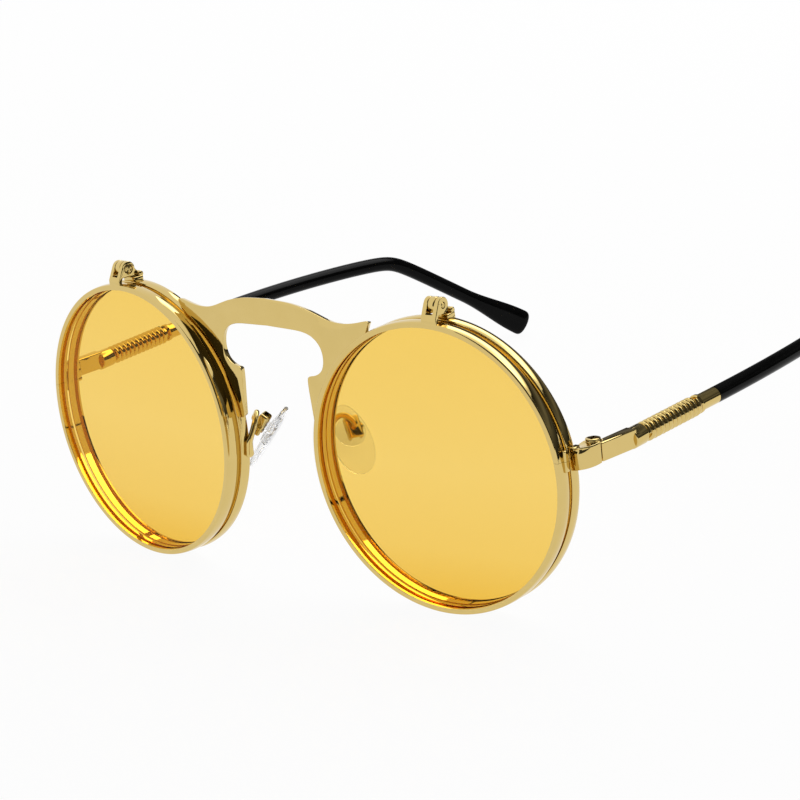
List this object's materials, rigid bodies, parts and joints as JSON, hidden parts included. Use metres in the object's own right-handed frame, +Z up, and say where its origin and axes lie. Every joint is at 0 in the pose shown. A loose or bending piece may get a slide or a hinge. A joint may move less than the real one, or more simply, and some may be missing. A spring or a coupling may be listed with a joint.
{
  "type": "flip-up sunglasses",
  "caption": "Round-lens flip-up sunglasses with gold-coloured wire rims, yellow outer lenses over clear ones, coil-wound side arms and clear nose pads.",
  "frame": {"origin": "centre of the bounding box at its lowest level, the table that the opened glasses stand on", "axes": "+X to the wearer's left, across the front; +Y from the front back to the ear tips; +Z up"},
  "size_m": [0.141, 0.1332, 0.0581],
  "materials": {
    "gold_plate": "bright gold-coloured plate over formed and soldered metal",
    "gold_screw": "small bright slotted screws",
    "clear_lens": "clear polished lens",
    "amber_lens": "transparent yellow tint, deeper at the bottom",
    "clear_silicone": "clear soft silicone",
    "clear_insert": "clear hard plastic insert",
    "black_tip": "glossy black sleeve"
  },
  "bodies": {
    "frame": {"bridge_plate": "gold_plate", "rear_rim_left": "gold_plate", "rear_rim_right": "gold_plate", "rear_lens_left": "clear_lens", "rear_lens_right": "clear_lens", "rear_rim_screw_left": "gold_screw", "rear_rim_screw_right": "gold_screw", "flip_hinge_bracket_left": "gold_plate", "flip_hinge_bracket_right": "gold_plate", "end_piece_left": "gold_plate", "end_piece_right": "gold_plate", "temple_hinge_screw_left": "gold_screw", "temple_hinge_screw_right": "gold_screw", "pad_arm_left": "gold_plate", "pad_arm_right": "gold_plate", "pad_box_left": "gold_plate", "pad_box_right": "gold_plate", "pad_screw_left": "gold_screw", "pad_screw_right": "gold_screw"},
    "flip_left": {"flip_rim_left": "gold_plate", "flip_lens_left": "amber_lens", "flip_rim_screw_left": "gold_screw", "flip_hinge_leaf_left": "gold_plate", "flip_hinge_screw_left": "gold_screw"},
    "temple_left": {"temple_core_left": "gold_plate", "temple_coil_left": "gold_plate", "temple_ferrule_left": "gold_plate", "temple_tip_left": "black_tip"},
    "pad_left": {"nose_pad_left": "clear_silicone", "pad_insert_left": "clear_insert"},
    "flip_right": {"flip_rim_right": "gold_plate", "flip_lens_right": "amber_lens", "flip_rim_screw_right": "gold_screw", "flip_hinge_leaf_right": "gold_plate", "flip_hinge_screw_right": "gold_screw"},
    "temple_right": {"temple_core_right": "gold_plate", "temple_coil_right": "gold_plate", "temple_ferrule_right": "gold_plate", "temple_tip_right": "black_tip"},
    "pad_right": {"nose_pad_right": "clear_silicone", "pad_insert_right": "clear_insert"}
  },
  "joints": [
    {"name": "temple_fold_left", "type": "hinge", "parent": "frame", "child": "temple_left", "pos_m": [0.0669, -0.05324, 0.02651], "axis": [0, 0.078, 0.997], "range_deg": [0, 80]},
    {"name": "temple_fold_right", "type": "hinge", "parent": "frame", "child": "temple_right", "pos_m": [-0.0669, -0.05324, 0.02651], "axis": [0, -0.078, -0.997], "range_deg": [0, 72]},
    {"name": "lens_flip_left", "type": "hinge", "parent": "frame", "child": "flip_left", "pos_m": [0.04014, -0.05807, 0.05659], "axis": [-0.9952, -0.0979, 0.0077], "range_deg": [0, 95]},
    {"name": "lens_flip_right", "type": "hinge", "parent": "frame", "child": "flip_right", "pos_m": [-0.04014, -0.05807, 0.05659], "axis": [-0.9952, 0.0979, -0.0077], "range_deg": [0, 95]},
    {"name": "pad_rock_left", "type": "hinge", "parent": "frame", "child": "pad_left", "pos_m": [0.01208, -0.05528, 0.02914], "axis": [0.4212, 0.9038, -0.0758], "range_deg": [-10, 10]},
    {"name": "pad_rock_right", "type": "hinge", "parent": "frame", "child": "pad_right", "pos_m": [-0.01208, -0.05545, 0.02695], "axis": [-0.4212, 0.9038, -0.0758], "range_deg": [-10, 10]}
  ]
}
